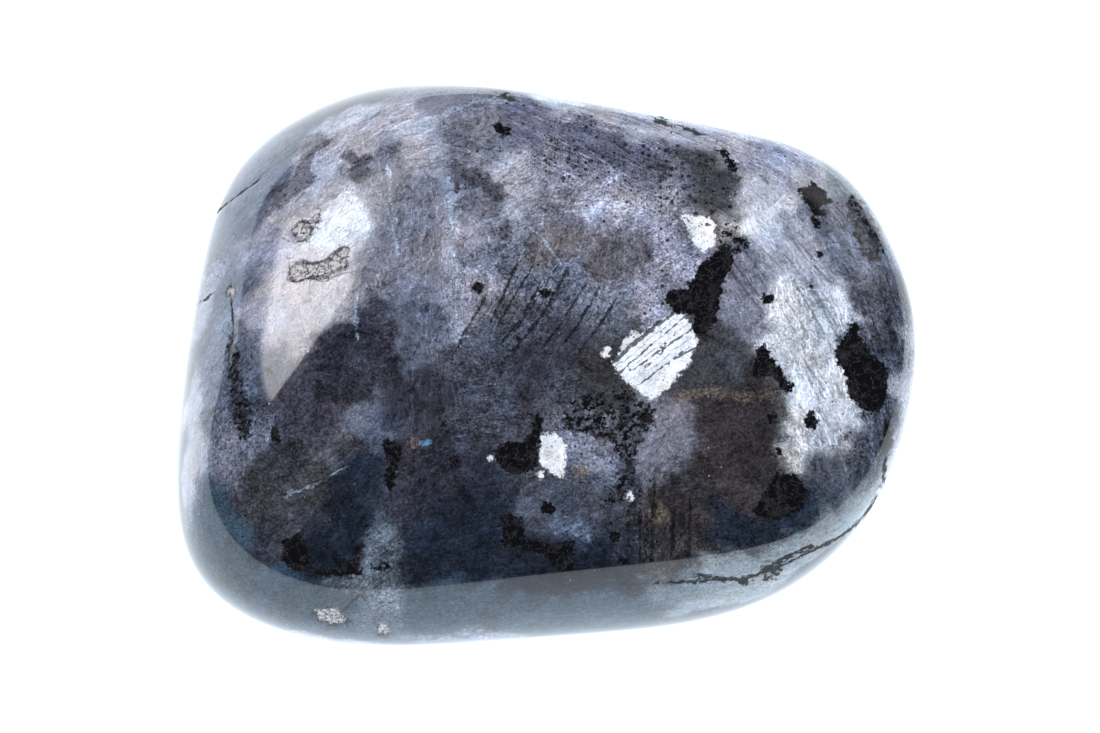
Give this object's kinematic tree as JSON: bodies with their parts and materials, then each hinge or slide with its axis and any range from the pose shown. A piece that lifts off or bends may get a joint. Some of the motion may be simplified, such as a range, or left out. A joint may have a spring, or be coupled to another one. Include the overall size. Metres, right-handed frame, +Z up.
{
  "type": "polished larvikite pebble",
  "caption": "Tumbled and polished larvikite stone, a rounded uneven pebble lying on a small worn flat.",
  "frame": {"origin": "middle of the stone's box, on the plane that it rests on", "axes": "+X along the stone's length, -Y to its low front side, +Z up as it lies on its worn flat"},
  "size_m": [0.044, 0.0372, 0.0258],
  "materials": {
    "polished_larvikite": "polished"
  },
  "bodies": {
    "root": {"larvikite_pebble": "polished_larvikite"}
  },
  "joints": []
}
